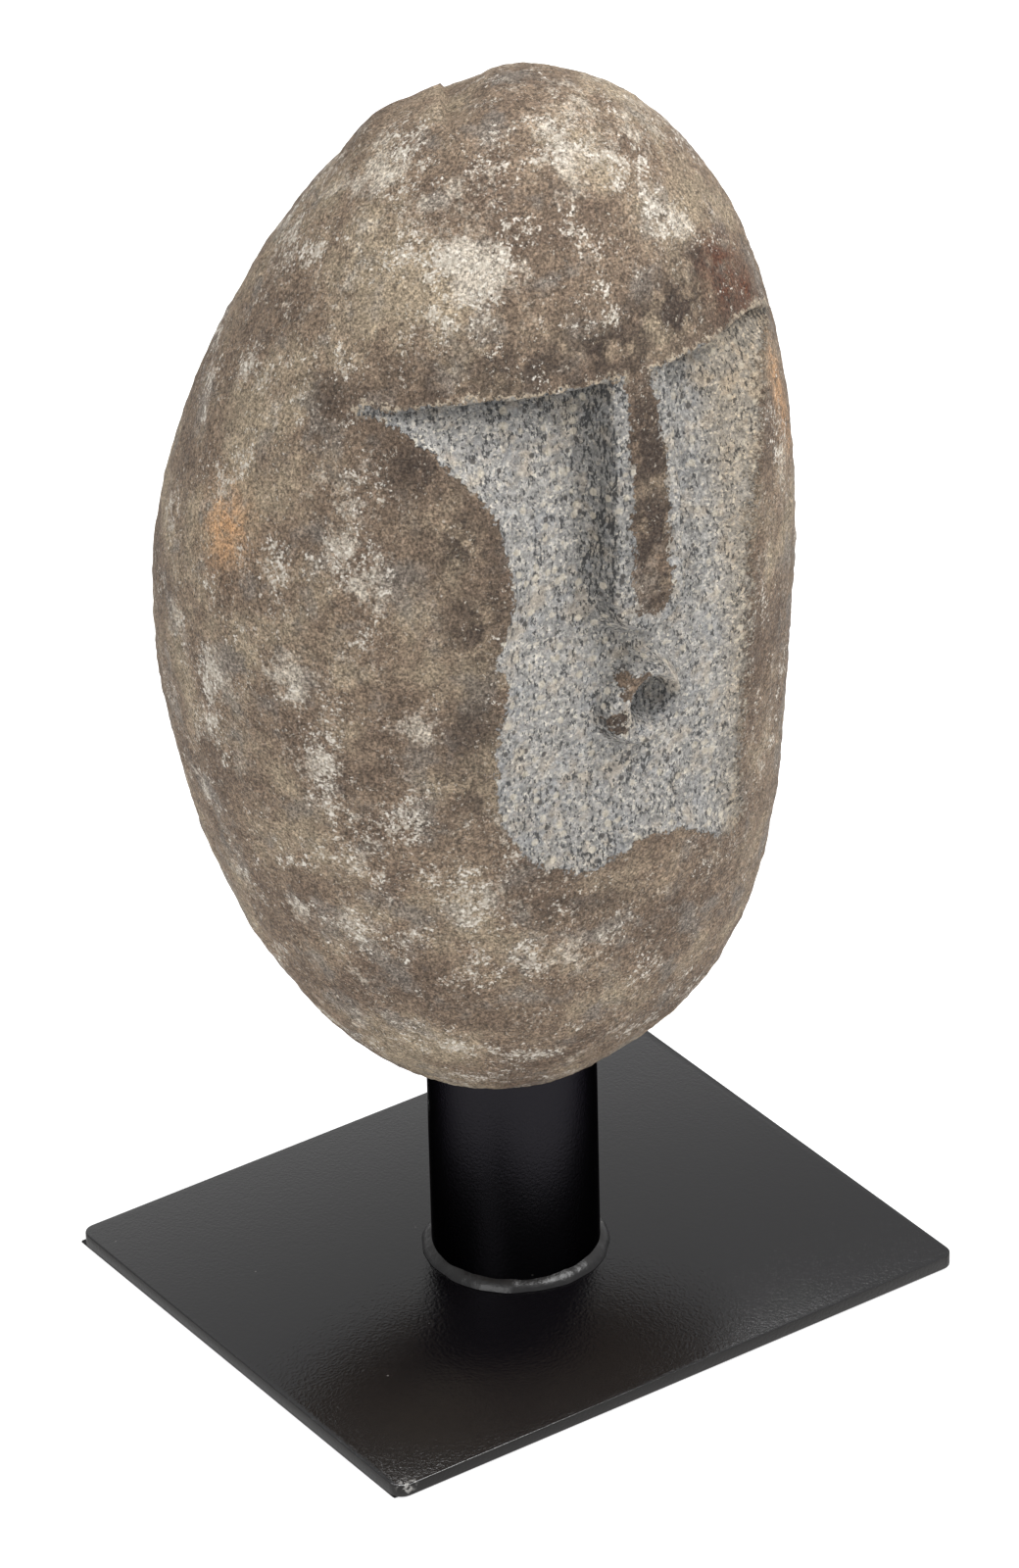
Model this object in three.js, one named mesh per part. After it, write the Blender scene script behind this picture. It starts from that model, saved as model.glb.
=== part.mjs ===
// A river boulder carved into a head with a brow, a nose and a small round mouth,
// standing on a short steel post welded to a rectangular steel plate.
// Millimetres, +Z up. The face looks along -Y, and +X is on the viewer's right.
// The origin is the middle of the underside of the pad that the plate lies on.

import * as THREE from "three";

// Driving dimensions.
const JOIN_GAP = 0.3;
const PAD = { width: 301, depth: 250.8, thickness: 0.5, corner: 0.8, shiftX: -1.5, shiftY: 1.9 };
const PLATE = { width: 304.8, depth: 254.0, thickness: 6.35, corner: 6.5, ease: 0.5 };
const POST = { diameter: 76.2, wall: 9.525, ease: 0.8, sides: 48 };
const WELD = { leg: 4.5, crown: 0.5, steps: 6 };

// The boulder is described by how far it reaches on four sides. Each side is widest at its own
// height, and the crown and keel powers say how full it stays above and below that height.
// The belt rounds the change from keel to crown. Below the seat height the stone is dressed flat.
const BOULDER = {
  bottom: 104,
  seat: 116,
  top: 590,
  squareness: 2.04,
  belt: 0.2,
  left: { reach: 146, widest: 370, crown: 1.4, keel: 1.78 },
  right: { reach: 130.2, widest: 347, crown: 2.38, keel: 4.9 },
  front: { reach: 121, widest: 303, crown: 2.6, keel: 3.3 },
  back: { reach: 152, widest: 336, crown: 1.5, keel: 1.44 },
  axisFoot: { x: -8, y: 15 },
  axisHead: { x: 5, y: -15 },
};

// The crown has a worn shoulder on its left and an old break with one sharp lip. Both are laid out
// across and along a direction turned about the vertical, and begin between two heights.
const CROWN = { turn: THREE.MathUtils.degToRad(-34.5), from: 530, full: 555 };
const BREAK = { across: -17.5, along: 8, depth: 6.5, lip: 2.5, run: 26, reach: 45, fullShare: 0.4 };
const SHOULDER = { across: -48, along: 12, height: 4.5, halfWidth: 20, reach: 45 };

// The face is cut back from the boulder's front. Its lengths are measured on the front view.
const BROW = { height: 494, droopFrom: 55, halfWidth: 103, leftDroop: 7, rightDroop: 19, ledgeRun: 4.5 };
const HOLLOW = { eyeDepth: 21, chinDepth: 11, chinHeight: 320, eyeHeight: 430, fade: 30 };
const NOSE = {
  topX: 0, topZ: 490, topHalf: 14,
  tipX: -5.5, tipZ: 398, tipHalf: 17,
  round: 1.5, flank: 7.5,
};
const LIPS = { x: -8, z: 344, radius: 16.5, flank: 6, kept: 0.95 };
const MOUTH = { x: -4, z: 345, radius: 10.2, edge: 2.5 };

// The soft edge of the hollow, from the left end of the brow down around the chin to its right end.
const CHEEK_LINE = [
  [-103, 487], [-88, 474], [-70, 446], [-66, 410], [-74, 382], [-70, 366], [-75, 335], [-71, 298],
  [-58, 278], [-37, 270], [-14, 276], [8, 276], [51, 256],
  [49, 290], [53, 330], [57, 400], [67, 432], [78, 466], [96, 480],
];

// How finely the boulder is divided, and how much closer its divisions lie on the face.
const MESH = { rows: 58, columns: 62, outlineSteps: 56, samples: 720 };
const SHEET_STEPS = { corner: 6, ease: 2 };
const ROWS_ON_FACE = { low: 262, high: 500, closer: 1.2 };
const ROWS_ON_BROW = { spread: 7, closer: 4 };
const COLUMNS_ON_FACE = { turn: 0.62, closer: 2.4 };

const GRANITE = { color: 0x7d7265, roughness: 0.9, metalness: 0.0 };
const BLACK_COAT = { color: 0x1b1a1b, roughness: 0.42, metalness: 0.0 };
const RUBBER = { color: 0x151414, roughness: 0.95, metalness: 0.0 };

const FRONT = -Math.PI / 2;

function smoothstep(low, high, value) {
  return THREE.MathUtils.smoothstep(value, low, high);
}

// Values from start to end, lying closer together where density is higher.
function spread(start, end, count, density) {
  const step = (end - start) / MESH.samples;
  const sums = [0];
  for (let i = 0; i < MESH.samples; i += 1) {
    sums.push(sums[i] + density(start + (i + 0.5) * step));
  }
  const values = [];
  let at = 0;
  for (let i = 0; i <= count; i += 1) {
    const wanted = (sums[MESH.samples] * i) / count;
    while (at < MESH.samples - 1 && sums[at + 1] < wanted) {
      at += 1;
    }
    const within = (wanted - sums[at]) / (sums[at + 1] - sums[at]);
    values.push(start + (at + within) * step);
  }
  return values;
}

// How far one side of the boulder reaches from its axis at a height.
function sideReach(side, z) {
  const above = z >= side.widest;
  const limit = above ? BOULDER.top : BOULDER.bottom;
  const power = above ? side.crown : side.keel;
  const share = Math.min((z - side.widest) / (limit - side.widest), 1);
  const swell = (value) => Math.hypot(value, BOULDER.belt) ** power;
  const drawnIn = (swell(share) - swell(0)) / (swell(1) - swell(0));
  return side.reach * Math.sqrt(Math.max(1 - drawnIn, 0));
}

// The point of the uncut boulder at a height, looking out along an angle from its axis.
function boulderPoint(z, angle) {
  const share = (z - BOULDER.bottom) / (BOULDER.top - BOULDER.bottom);
  const axisX = THREE.MathUtils.lerp(BOULDER.axisFoot.x, BOULDER.axisHead.x, share);
  const axisY = THREE.MathUtils.lerp(BOULDER.axisFoot.y, BOULDER.axisHead.y, share);
  const cos = Math.cos(angle);
  const sin = Math.sin(angle);
  const reachX = sideReach(cos >= 0 ? BOULDER.right : BOULDER.left, z);
  const reachY = sideReach(sin >= 0 ? BOULDER.back : BOULDER.front, z);
  const power = BOULDER.squareness;
  const sum = Math.abs(cos / reachX) ** power + Math.abs(sin / reachY) ** power;
  const radius = sum ** (-1 / power);
  return new THREE.Vector3(axisX + radius * cos, axisY + radius * sin, z);
}

// The lower edge of the brow, which droops towards both ends, more on the right.
function browHeight(x) {
  const past = Math.max(Math.abs(x) - BROW.droopFrom, 0) / (BROW.halfWidth - BROW.droopFrom);
  return BROW.height - (x < 0 ? BROW.leftDroop : BROW.rightDroop) * past * past;
}

const cheekLine = new THREE.SplineCurve(CHEEK_LINE.map(([x, z]) => new THREE.Vector2(x, z)))
  .getPoints(MESH.outlineSteps);

// The cheek line closed above the brow.
const aboveBrow = BROW.height + BROW.rightDroop;
const faceOutline = [
  ...cheekLine,
  new THREE.Vector2(cheekLine.at(-1).x, aboveBrow),
  new THREE.Vector2(cheekLine[0].x, aboveBrow),
];

// Distance from a point of the front view to the nearest place on the cheek line, or zero outside it.
function insideCheekLine(x, z) {
  let nearest = Infinity;
  let inside = false;
  for (let i = 0; i < faceOutline.length; i += 1) {
    const a = faceOutline[i];
    const b = faceOutline[(i + 1) % faceOutline.length];
    if (a.y > z !== b.y > z && x < a.x + ((z - a.y) * (b.x - a.x)) / (b.y - a.y)) {
      inside = !inside;
    }
    if (i < cheekLine.length - 1) {
      const length = (b.x - a.x) ** 2 + (b.y - a.y) ** 2;
      const along = ((x - a.x) * (b.x - a.x) + (z - a.y) * (b.y - a.y)) / length;
      const t = THREE.MathUtils.clamp(along, 0, 1);
      const away = Math.hypot(x - a.x - t * (b.x - a.x), z - a.y - t * (b.y - a.y));
      nearest = Math.min(nearest, away);
    }
  }
  return inside ? nearest : 0;
}

// The share of the skin that the nose keeps: 1 on its ridge, 0 past its flanks.
function noseKept(x, z) {
  const down = THREE.MathUtils.clamp((NOSE.topZ - z) / (NOSE.topZ - NOSE.tipZ), 0, 1);
  const middle = THREE.MathUtils.lerp(NOSE.topX, NOSE.tipX, down);
  const half = THREE.MathUtils.lerp(NOSE.topHalf, NOSE.tipHalf, down);
  const away = Math.hypot(x - middle, Math.max(NOSE.tipZ - z, 0));
  return 1 - smoothstep(half - NOSE.round, half + NOSE.flank, away);
}

// 1 in the hole of the mouth, 0 outside it.
function mouthShare(x, z) {
  const past = Math.hypot(x - MOUTH.x, z - MOUTH.z) - MOUTH.radius;
  return 1 - smoothstep(-MOUTH.edge, MOUTH.edge, past);
}

// The share that the lips keep: a round swelling with the hole of the mouth in it.
function lipsKept(x, z) {
  const past = Math.hypot(x - LIPS.x, z - LIPS.z) - LIPS.radius;
  return LIPS.kept * (1 - smoothstep(0, LIPS.flank, past)) * (1 - mouthShare(x, z));
}

// How deep the face is cut behind the uncut front at a place of the front view.
function cutDepth(x, z) {
  const inset = insideCheekLine(x, z);
  const underBrow = smoothstep(0, BROW.ledgeRun, browHeight(x) - z);
  const up = smoothstep(HOLLOW.chinHeight, HOLLOW.eyeHeight, z);
  const deepest = THREE.MathUtils.lerp(HOLLOW.chinDepth, HOLLOW.eyeDepth, up);
  const bowl = deepest * (1 - Math.exp(-inset / HOLLOW.fade));
  return bowl * underBrow * (1 - noseKept(x, z)) * (1 - lipsKept(x, z));
}

// How the crown departs from the smooth boulder, at a place seen from above.
function crownLift(x, y) {
  const across = x * Math.cos(CROWN.turn) + y * Math.sin(CROWN.turn);
  const along = y * Math.cos(CROWN.turn) - x * Math.sin(CROWN.turn);
  const past = across - BREAK.across;
  const runOut = smoothstep(-BREAK.lip, 0, past) * (1 - smoothstep(0, BREAK.run, past));
  const fromMiddle = Math.abs(along - BREAK.along) / BREAK.reach;
  const broken = runOut * (1 - smoothstep(BREAK.fullShare, 1, fromMiddle));
  const away = Math.hypot(
    (across - SHOULDER.across) / SHOULDER.halfWidth,
    (along - SHOULDER.along) / SHOULDER.reach,
  );
  return SHOULDER.height * (1 - smoothstep(0, 1, away)) - BREAK.depth * broken;
}

function carvedPoint(z, angle) {
  const point = boulderPoint(z, angle);
  const faces = Math.sin(angle) < 0;
  if (faces) {
    point.y += cutDepth(point.x, point.z);
  }
  point.z += crownLift(point.x, point.y) * smoothstep(CROWN.from, CROWN.full, z);
  return point;
}

// Heights of the boulder's rows, from the seat up to just below the crown.
function rowHeights() {
  const middle = (BOULDER.top + BOULDER.bottom) / 2;
  const half = (BOULDER.top - BOULDER.bottom) / 2;
  const heightAt = (turn) => middle + half * Math.sin(turn);
  const density = (turn) => {
    const z = heightAt(turn);
    const onFace = z > ROWS_ON_FACE.low && z < ROWS_ON_FACE.high ? ROWS_ON_FACE.closer : 0;
    const fromBrow = (z - BROW.height + BROW.ledgeRun / 2) / ROWS_ON_BROW.spread;
    return 1 + onFace + ROWS_ON_BROW.closer * Math.exp(-fromBrow * fromBrow);
  };
  const seatTurn = Math.asin((BOULDER.seat - middle) / half);
  return spread(seatTurn, Math.PI / 2, MESH.rows, density).slice(0, MESH.rows).map(heightAt);
}

function columnAngles() {
  const density = (angle) => {
    const fromFront = (angle - FRONT) / COLUMNS_ON_FACE.turn;
    return 1 + COLUMNS_ON_FACE.closer * Math.exp(-fromFront * fromFront);
  };
  return spread(FRONT - Math.PI, FRONT + Math.PI, MESH.columns, density).slice(0, MESH.columns);
}

function stoneGeometry() {
  const heights = rowHeights();
  const angles = columnAngles();
  const points = heights.flatMap((z) => angles.map((angle) => carvedPoint(z, angle)));
  const seatMiddle = points.length;
  const crown = seatMiddle + 1;
  points.push(new THREE.Vector3(BOULDER.axisFoot.x, BOULDER.axisFoot.y, BOULDER.seat));
  points.push(new THREE.Vector3(BOULDER.axisHead.x, BOULDER.axisHead.y, BOULDER.top));
  const faces = [];
  const at = (row, column) => row * angles.length + (column % angles.length);
  for (let column = 0; column < angles.length; column += 1) {
    faces.push(seatMiddle, at(0, column + 1), at(0, column));
    faces.push(crown, at(heights.length - 1, column), at(heights.length - 1, column + 1));
    for (let row = 0; row < heights.length - 1; row += 1) {
      const a = at(row, column);
      const b = at(row, column + 1);
      const c = at(row + 1, column + 1);
      const d = at(row + 1, column);
      faces.push(a, b, c, a, c, d);
    }
  }
  const geometry = new THREE.BufferGeometry().setFromPoints(points);
  geometry.setIndex(faces);
  geometry.computeVertexNormals();
  return geometry;
}

// A flat sheet with rounded corners and eased edges, its underside at z = 0.
function sheetGeometry(width, depth, thickness, corner, ease) {
  const right = width / 2;
  const back = depth / 2;
  const quarter = Math.PI / 2;
  const shape = new THREE.Shape();
  shape.absarc(right - corner, back - corner, corner, 0, quarter);
  shape.absarc(corner - right, back - corner, corner, quarter, 2 * quarter);
  shape.absarc(corner - right, corner - back, corner, 2 * quarter, 3 * quarter);
  shape.absarc(right - corner, corner - back, corner, 3 * quarter, 4 * quarter);
  shape.closePath();
  const geometry = new THREE.ExtrudeGeometry(shape, {
    depth: thickness - 2 * ease,
    bevelEnabled: ease > 0,
    bevelThickness: ease,
    bevelSize: ease,
    bevelOffset: -ease,
    bevelSegments: SHEET_STEPS.ease,
    curveSegments: SHEET_STEPS.corner,
  });
  geometry.translate(0, 0, ease);
  return geometry;
}

// A ring turned about Z from a closed profile of [radius, height] points.
function turnedRing(profile) {
  const points = [...profile, profile[0]].map(([radius, height]) => new THREE.Vector2(radius, height));
  const geometry = new THREE.LatheGeometry(points, POST.sides);
  geometry.rotateX(Math.PI / 2);
  return geometry;
}

function postGeometry(length) {
  const outer = POST.diameter / 2;
  const inner = outer - POST.wall;
  return turnedRing([
    [inner, 0],
    [outer, 0],
    [outer, length - POST.ease],
    [outer - POST.ease, length],
    [inner + POST.ease, length],
    [inner, length - POST.ease],
  ]);
}

// The bead's face runs from the plate up to the post on a shallow outward curve.
function weldGeometry() {
  const inner = POST.diameter / 2 + JOIN_GAP;
  const profile = [[inner, 0]];
  for (let i = 0; i <= WELD.steps; i += 1) {
    const share = i / WELD.steps;
    const swell = WELD.crown * Math.sin(Math.PI * share);
    profile.push([inner + WELD.leg * (1 - share) + swell, WELD.leg * share + swell]);
  }
  return turnedRing(profile);
}

function piece(name, geometry, look, z) {
  const mesh = new THREE.Mesh(geometry, new THREE.MeshStandardMaterial(look));
  mesh.name = name;
  mesh.position.z = z;
  return mesh;
}

const plateTop = PAD.thickness + JOIN_GAP + PLATE.thickness;
const footHeight = plateTop + JOIN_GAP;
const postLength = BOULDER.seat - JOIN_GAP - footHeight;

const pad = piece(
  "rubber_pad",
  sheetGeometry(PAD.width, PAD.depth, PAD.thickness, PAD.corner, 0),
  RUBBER,
  0,
);
pad.position.set(PAD.shiftX, PAD.shiftY, 0);

const stand = new THREE.Group();
stand.add(
  pad,
  piece(
    "base_plate",
    sheetGeometry(PLATE.width, PLATE.depth, PLATE.thickness, PLATE.corner, PLATE.ease),
    BLACK_COAT,
    PAD.thickness + JOIN_GAP,
  ),
  piece("post", postGeometry(postLength), BLACK_COAT, footHeight),
  piece("weld_bead", weldGeometry(), BLACK_COAT, footHeight),
);

const sculpture = new THREE.Group();
sculpture.add(stand, piece("stone_head", stoneGeometry(), GRANITE, 0));

export default sculpture;
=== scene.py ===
"""A carved boulder head on a welded steel stand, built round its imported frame.

The boulder is a river stone with its brown crust left on, and a face cut into its front down
to fresh grey granite. The stand is black coated steel on a thin rubber pad.
"""

import math
from functools import partial

import bpy
import numpy as np
from mathutils import Matrix, Vector


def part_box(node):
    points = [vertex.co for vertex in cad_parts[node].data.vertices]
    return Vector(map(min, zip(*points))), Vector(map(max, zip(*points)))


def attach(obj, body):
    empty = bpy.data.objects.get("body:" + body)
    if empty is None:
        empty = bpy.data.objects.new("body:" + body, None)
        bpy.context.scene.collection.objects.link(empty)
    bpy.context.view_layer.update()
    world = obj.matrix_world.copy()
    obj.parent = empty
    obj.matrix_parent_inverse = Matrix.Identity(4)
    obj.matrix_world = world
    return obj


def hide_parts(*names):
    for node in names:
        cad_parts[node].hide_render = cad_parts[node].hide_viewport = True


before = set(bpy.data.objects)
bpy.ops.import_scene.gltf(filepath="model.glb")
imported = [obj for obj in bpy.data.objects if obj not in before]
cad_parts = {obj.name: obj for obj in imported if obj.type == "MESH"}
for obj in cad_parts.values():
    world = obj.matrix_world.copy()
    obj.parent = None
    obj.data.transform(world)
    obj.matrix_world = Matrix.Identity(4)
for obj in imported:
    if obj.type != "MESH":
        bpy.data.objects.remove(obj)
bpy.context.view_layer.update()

bl_info = {
    "name": "Carved boulder head",
    "version": (1, 0, 0),
    "blender": (4, 5, 0),
    "location": "View3D > Sidebar > Boulder head",
    "description": "Builds a carved boulder head, its steel stand and a plain stage",
    "category": "Object",
}

MM = 0.001
TINY = 1e-6
BODY = "root"

# The boulder, in millimetres: how far each side reaches from the leaning axis, the height
# where that side is widest, and how full it stays above and below that height.
BOULDER_BOTTOM = 104.0
BOULDER_TOP = 590.0
SEAT = 116.0
SQUARENESS = 2.04
BELT = 0.2
LEFT_SIDE = {"reach": 146.0, "widest": 370.0, "crown": 1.4, "keel": 1.78}
RIGHT_SIDE = {"reach": 130.2, "widest": 347.0, "crown": 2.38, "keel": 4.9}
FRONT_SIDE = {"reach": 121.0, "widest": 303.0, "crown": 2.6, "keel": 3.3}
BACK_SIDE = {"reach": 152.0, "widest": 336.0, "crown": 1.5, "keel": 1.44}
AXIS_FOOT = (-8.0, 15.0)
AXIS_HEAD = (5.0, -15.0)

# The crown: heights between which its wear comes in, the turn of the directions across and along
# which it is described, and what is worn or broken off there.
CROWN_FROM = 530.0
CROWN_FULL = 555.0
CROWN_TURN = math.radians(-34.5)
BREAK = {"across": -17.5, "along": 8.0, "depth": 6.5, "lip": 2.5, "run": 26.0, "reach": 45.0, "even": 0.4}
SHOULDER = {"across": -48.0, "along": 12.0, "height": 4.5, "half_width": 20.0, "reach": 45.0}

# The carving, in millimetres on the front view: x across, z up.
BROW = {"height": 494.0, "droop_from": 55.0, "half_width": 103.0, "left_droop": 7.0,
        "right_droop": 19.0, "ledge_run": 4.5}
HOLLOW = {"eye_depth": 21.0, "chin_depth": 11.0, "chin_height": 320.0, "eye_height": 430.0, "fade": 30.0}
NOSE = {"top_x": 0.0, "top_z": 490.0, "top_half": 14.0, "tip_x": -5.5, "tip_z": 398.0, "tip_half": 17.0,
        "round": 1.5, "flank": 7.5}
LIPS = {"x": -8.0, "z": 344.0, "radius": 16.5, "flank": 6.0, "kept": 0.95}
MOUTH = {"x": -4.0, "z": 345.0, "radius": 10.2, "edge": 2.5}
CHEEK_LINE = (
    (-103, 487), (-88, 474), (-70, 446), (-66, 410), (-74, 382), (-70, 366), (-75, 335), (-71, 298),
    (-58, 278), (-37, 270), (-14, 276), (8, 276), (51, 256),
    (49, 290), (53, 330), (57, 400), (67, 432), (78, 466), (96, 480),
)
CURVE_STEPS = 6
FAR_OUTSIDE = -50.0

# Painted shade, darkening the fresh rock where shade falls: beside the nose, under the ledge of the brow,
# round the mouth and low on the chin. Each has its share of the full darkness, and its reach in millimetres.
NOSE_PAINTED_SHADE = {"side": 8.0, "right_share": 0.15, "below": 14.0, "below_share": 0.35, "foot": 0.7,
               "foot_fade": 7.0, "foot_from": 0.7, "flank_full": 0.4, "ridge_from": 0.85, "ridge_loss": 0.6}
LEDGE_PAINTED_SHADE = {"share": 0.8, "thin": 3.0, "thick": 13.0, "thicker_from": -85.0, "thickest": -25.0,
                "thin_again": -15.0}
MOUTH_PAINTED_SHADE = {"hole": 0.85, "slope": 0.75, "slope_from": -6.0, "slope_to": 14.0}
CHIN_PAINTED_SHADE = {"share": 0.15, "full_below": 285.0, "none_above": 335.0}

# The stripe of crust that the carver left on the ridge of the nose, and the patches on the lips.
RIDGE_CRUST = {"top_x": -0.5, "top_half": 6.0, "tip_x": -4.8, "tip_z": 396.5, "tip_half": 9.3}
LIP_CRUST = (
    (-16.5, 357.5, 4.0), (-18.5, 353.0, 2.6), (-11.5, 356.0, 4.0), (-22.5, 341.5, 3.4), (-21.5, 337.0, 3.6),
)

# Where the rind is stained or bleached, in millimetres: a place on the skin, how far the spot
# reaches along it and up it, and how strong it is.
RUST_SPOTS = ((60, -84, 514, 17, 20, 1.0), (74, -82, 498, 12, 14, 1.0), (-139, 8, 405, 14, 16, 0.3))
OCHRE_SPOTS = ((-139, 1, 422, 15, 16, 0.95), (88, -84, 449, 7, 24, 0.9), (93, -78, 425, 7, 16, 0.5))
PALE_SPOTS = (
    (-56, -64, 541, 22, 15, 1.3), (-53, -7, 566, 22, 18, 1.0), (38, -80, 541, 15, 20, 1.0),
    (10, -50, 580, 60, 36, 0.35),
    (-118, -65, 424, 16, 20, 0.6), (-99, -91, 354, 13, 15, 0.7), (-130, -55, 329, 15, 14, 0.5),
    (-137, -45, 365, 12, 12, 0.5), (-43, -80, 164, 14, 8, 0.9), (-28, -109, 230, 22, 14, 0.4),
    (-147, 0, 352, 20, 40, 0.4), (22, -68, 562, 16, 14, 0.5), (-105, -65, 242, 26, 20, 0.35),
)
SMOKE_SPOTS = (
    (-107, -41, 488, 14, 11, 0.6), (-91, -78, 466, 16, 16, 0.75), (-83, -94, 434, 17, 18, 0.75),
    (-80, -101, 399, 16, 22, 0.75), (-85, -99, 352, 15, 22, 0.7), (-84, -98, 318, 13, 20, 0.55),
    (25, -98, 512, 30, 15, 0.95), (-12, -100, 507, 30, 14, 0.85), (-45, -91, 505, 30, 13, 0.75),
    (-76, -71, 502, 24, 11, 0.6), (55, -90, 506, 18, 13, 0.8), (46, -86, 523, 18, 13, 0.8),
    (-35, -111, 253, 26, 9, 0.5), (29, -108, 238, 22, 11, 0.45), (0, -112, 465, 14, 26, 1.1),
    (-3, -118, 415, 14, 34, 1.2), (-20, -118, 340, 16, 26, 0.9), (98, -60, 330, 30, 110, 0.5),
)

# The stone's mesh: its columns and rows of points, the cuts that bring a sphere to that many, how
# much closer its rows lie on the face and at the ledge of the brow, and its columns on the face.
COLUMNS = 320
ROWS = 300
CUTS = 1
PROFILE_SAMPLES = 4000
FACE_ROWS = {"from": 250.0, "full_from": 280.0, "full_to": 500.0, "to": 530.0, "closer": 1.0}
LEDGE_ROWS = {"reach": 6.0, "closer": 2.2}
FACE_COLUMNS = {"reach": 0.75, "closer": 2.4}

# The relief of the skin: the vertex group that it works on, the size of its pattern in millimetres
# and the setting that holds its height.
RELIEF = (("skin", 60.0, "lumps"), ("skin", 16.0, "lumps"), ("crust", 6.0, "pits"), ("pecked", 5.0, "pecks"))
WEIGHT_STEPS = 20

# Where the relief and the marks come in and are full, in millimetres: the pecks at the edge of the
# face, the lumps and pits above the seat, and the bruised band along the lip of the brow.
PECKS_FROM, PECKS_FULL = -1.0, 3.0
LUMPS_FROM, LUMPS_FULL = 1.0, 6.0
LIP_BAND = 4.0

# The stand, in millimetres. Each wave of the weld has its turns round the ring, its phase and its share.
POST_SIDES = 128
POST_WALL = 9.525
CORNER_STEPS = 8
EASE_STEPS = 3
WELD_STEPS = 240
WELD_SIDES = 24
WELD_CROWN = 0.5
WELD_WAVES = ((5, 2.0, 0.5), (11, 1.1, 0.35), (19, 0.4, 0.3))
WELD_RIPPLE = {"turns": 43, "share": 0.12, "drift_turns": 5, "drift": 3.0}

# Edges sharper than these, in degrees, stay crisp. A face of the plate whose normal leans less
# from the level than this was cut.
SHARP_EDGE = 35.0
SHARP_WELD = 50.0
UPRIGHT = 0.3

# Where the plate's enamel is rubbed through, in millimetres, and how far that reaches.
RUBBED_CORNER = (-147.0, -126.6, 7.0)
RUB_REACH = 6.5

# The stage, in metres: where each light stands and how large it is.
LIGHTS = {"key": ((1.1, -1.5, 2.9), 1.7), "fill": ((-2.4, -1.2, 1.4), 1.6), "top": ((0.15, 0.35, 3.4), 1.6)}
LIGHTS_AIM = (0.0, 0.0, 0.3)
FLOOR_SIZE = 40.0
SENSOR_WIDTH = 36.0
CLIP_END = 100.0


def smoothstep(low, high, value):
    """0 below low, 1 above high, and a smooth rise between them."""
    share = np.clip((value - low) / (high - low), 0.0, 1.0)
    return share * share * (3.0 - 2.0 * share)


def mix(a, b, share):
    """The value a share of the way from a to b."""
    return a + (b - a) * share


def spread(start, end, count, density):
    """count + 1 values from start to end, closer together where density is higher."""
    at = np.linspace(start, end, PROFILE_SAMPLES)
    sums = np.concatenate(([0.0], np.cumsum(density((at[1:] + at[:-1]) / 2))))
    return np.interp(np.linspace(0.0, sums[-1], count + 1), sums, at)


def side_reach(side, z):
    """How far one side of the boulder reaches from its axis at a height."""
    above = z >= side["widest"]
    limit = np.where(above, BOULDER_TOP, BOULDER_BOTTOM)
    power = np.where(above, side["crown"], side["keel"])
    share = np.clip((z - side["widest"]) / (limit - side["widest"]), 0.0, 1.0)
    at_belt = BELT ** power
    drawn_in = (np.hypot(share, BELT) ** power - at_belt) / (math.hypot(1.0, BELT) ** power - at_belt)
    return side["reach"] * np.sqrt(np.clip(1.0 - drawn_in, 0.0, None))


def boulder_points(z, angle):
    """The uncut boulder at heights, looking out along angles from its axis."""
    share = (z - BOULDER_BOTTOM) / (BOULDER_TOP - BOULDER_BOTTOM)
    axis_x = mix(AXIS_FOOT[0], AXIS_HEAD[0], share)
    axis_y = mix(AXIS_FOOT[1], AXIS_HEAD[1], share)
    cos, sin = np.cos(angle), np.sin(angle)
    reach_x = np.where(cos >= 0.0, side_reach(RIGHT_SIDE, z), side_reach(LEFT_SIDE, z))
    reach_y = np.where(sin >= 0.0, side_reach(BACK_SIDE, z), side_reach(FRONT_SIDE, z))
    total = np.abs(cos / np.maximum(reach_x, TINY)) ** SQUARENESS
    total = total + np.abs(sin / np.maximum(reach_y, TINY)) ** SQUARENESS
    radius = total ** (-1.0 / SQUARENESS)
    return np.stack((axis_x + radius * cos, axis_y + radius * sin, z + 0.0 * angle), axis=-1)


def brow_height(x):
    """The lower edge of the brow, which droops towards both ends, more on the right."""
    past = np.clip(np.abs(x) - BROW["droop_from"], 0.0, None) / (BROW["half_width"] - BROW["droop_from"])
    return BROW["height"] - np.where(x < 0.0, BROW["left_droop"], BROW["right_droop"]) * past ** 2


def smooth_line(points):
    """A smooth curve through the points, as closely spaced points."""
    ends = np.array([points[0], *points, points[-1]], float)
    line = []
    for a, b, c, d in zip(ends, ends[1:], ends[2:], ends[3:]):
        for t in np.arange(CURVE_STEPS) / CURVE_STEPS:
            bend = 2.0 * b + (c - a) * t + (2 * a - 5 * b + 4 * c - d) * t ** 2
            line.append((bend + (3 * b - a - 3 * c + d) * t ** 3) / 2.0)
    return np.array([*line, ends[-1]])


def cheek_distance(x, z):
    """Signed distance to the cheek line: positive inside the face, negative outside it."""
    line = smooth_line(CHEEK_LINE)
    above_brow = BROW["height"] + BROW["right_droop"]
    outline = np.vstack((line, (line[-1][0], above_brow), (line[0][0], above_brow)))
    nearest = np.full(x.shape, np.inf)
    inside = np.zeros(x.shape, bool)
    for index, a in enumerate(outline):
        b = outline[(index + 1) % len(outline)]
        crosses = (a[1] > z) != (b[1] > z)
        rise = b[1] - a[1] if b[1] != a[1] else TINY
        inside ^= crosses & (x < a[0] + (z - a[1]) * (b[0] - a[0]) / rise)
        if index < len(line) - 1:
            step = b - a
            along = np.clip(((x - a[0]) * step[0] + (z - a[1]) * step[1]) / (step @ step), 0.0, 1.0)
            nearest = np.minimum(nearest, np.hypot(x - a[0] - along * step[0], z - a[1] - along * step[1]))
    return np.where(inside, nearest, -nearest)


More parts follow.
